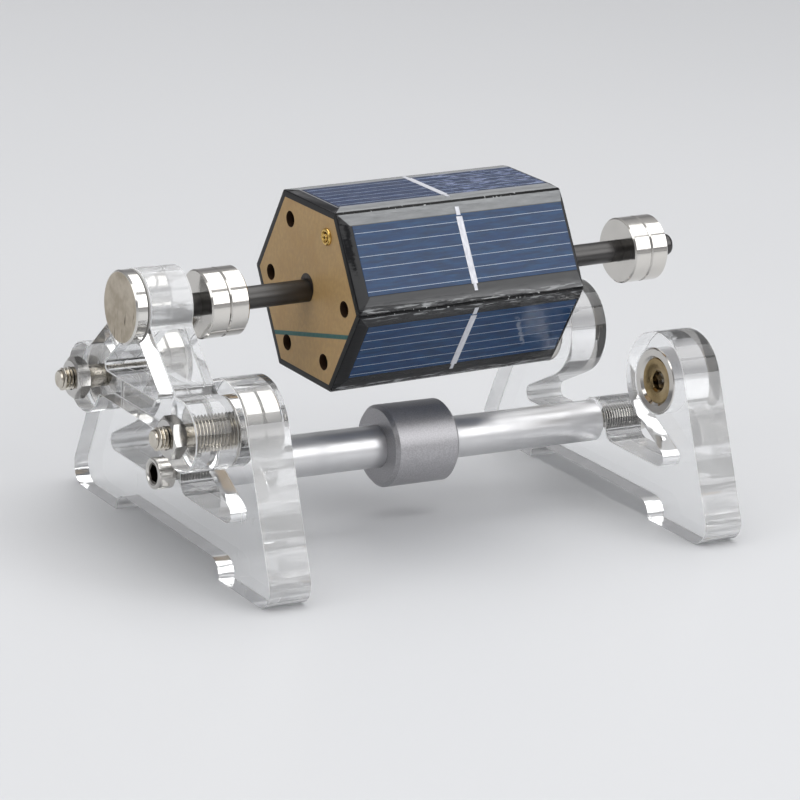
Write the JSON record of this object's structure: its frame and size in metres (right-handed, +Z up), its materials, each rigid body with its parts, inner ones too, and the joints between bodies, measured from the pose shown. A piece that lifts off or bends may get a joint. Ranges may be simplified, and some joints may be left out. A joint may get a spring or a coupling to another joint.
{
  "type": "demonstration electric motor",
  "caption": "Solar demonstration motor: a six-sided panelled rotor floats on ring magnets over two clear frame plates, with a disc magnet at one end of its shaft.",
  "frame": {"origin": "on the surface it stands on, under the middle of its overall length and width", "axes": "+X along the cross rod from the thrust bracket to the free end of the shaft, +Y towards the back, +Z up"},
  "size_m": [0.1432, 0.0918, 0.0759],
  "materials": {
    "clear_acrylic": "polished clear sheet",
    "grey_pad": "thin bonding pad",
    "nickel": "bright nickel plate",
    "aluminium_rod": "polished with fine turning marks",
    "grey_magnet": "matte grey, fine speckle",
    "bronzed_steel": "dull warm plating",
    "steel": "bright zinc plate",
    "dark_shaft": "blackened, satin",
    "brown_board": "phenolic board",
    "brass": "polished",
    "core_plastic": "moulded",
    "copper_wire": "enamelled winding wire",
    "panel_black": "glossy black film over board",
    "cell_blue": "crystalline blue under clear resin",
    "bus_silver": "tinned strip"
  },
  "bodies": {
    "stand": {"left_frame_plate": "clear_acrylic", "right_frame_plate": "clear_acrylic", "thrust_bracket": "clear_acrylic", "thrust_pad": "grey_pad", "thrust_magnet": "nickel", "cross_rod": "aluminium_rod", "field_magnet": "grey_magnet", "base_magnet_left_front_1": "nickel", "base_magnet_left_front_2": "nickel", "base_magnet_left_back_1": "nickel", "base_magnet_left_back_2": "nickel", "base_magnet_right_front_1": "nickel", "base_magnet_right_front_2": "nickel", "base_magnet_right_back_1": "nickel", "base_magnet_right_back_2": "nickel", "lobe_screw_left_front": "bronzed_steel", "lobe_screw_left_back": "bronzed_steel", "lobe_screw_right_front": "bronzed_steel", "lobe_screw_right_back": "bronzed_steel", "lobe_nut_left_front": "steel", "lobe_nut_left_back": "steel", "lobe_nut_right_front": "steel", "lobe_nut_right_back": "steel", "rod_screw_left": "steel", "rod_screw_right": "steel"},
    "rotor": {"rotor_shaft": "dark_shaft", "shaft_tip": "steel", "rotor_ring_left_1": "nickel", "rotor_ring_left_2": "nickel", "rotor_ring_right_1": "nickel", "rotor_ring_right_2": "nickel", "end_plate_left": "brown_board", "end_plate_right": "brown_board", "brass_eyelet": "brass", "rotor_core": "core_plastic", "coil_a": "copper_wire", "coil_b": "copper_wire", "coil_c": "copper_wire", "solar_panel_1": "panel_black", "solar_panel_2": "panel_black", "solar_panel_3": "panel_black", "solar_panel_4": "panel_black", "solar_panel_5": "panel_black", "solar_panel_6": "panel_black", "solar_cell_1": "cell_blue", "solar_cell_2": "cell_blue", "solar_cell_3": "cell_blue", "solar_cell_4": "cell_blue", "solar_cell_5": "cell_blue", "solar_cell_6": "cell_blue", "bus_strip_1": "bus_silver", "bus_strip_2": "bus_silver", "bus_strip_3": "bus_silver", "bus_strip_4": "bus_silver", "bus_strip_5": "bus_silver", "bus_strip_6": "bus_silver"}
  },
  "joints": [
    {"name": "rotor_spin", "type": "hinge", "parent": "stand", "child": "rotor", "pos_m": [0.00444, 0, 0.0549], "axis": [0.9995, 0, 0.0314], "continuous": true}
  ]
}
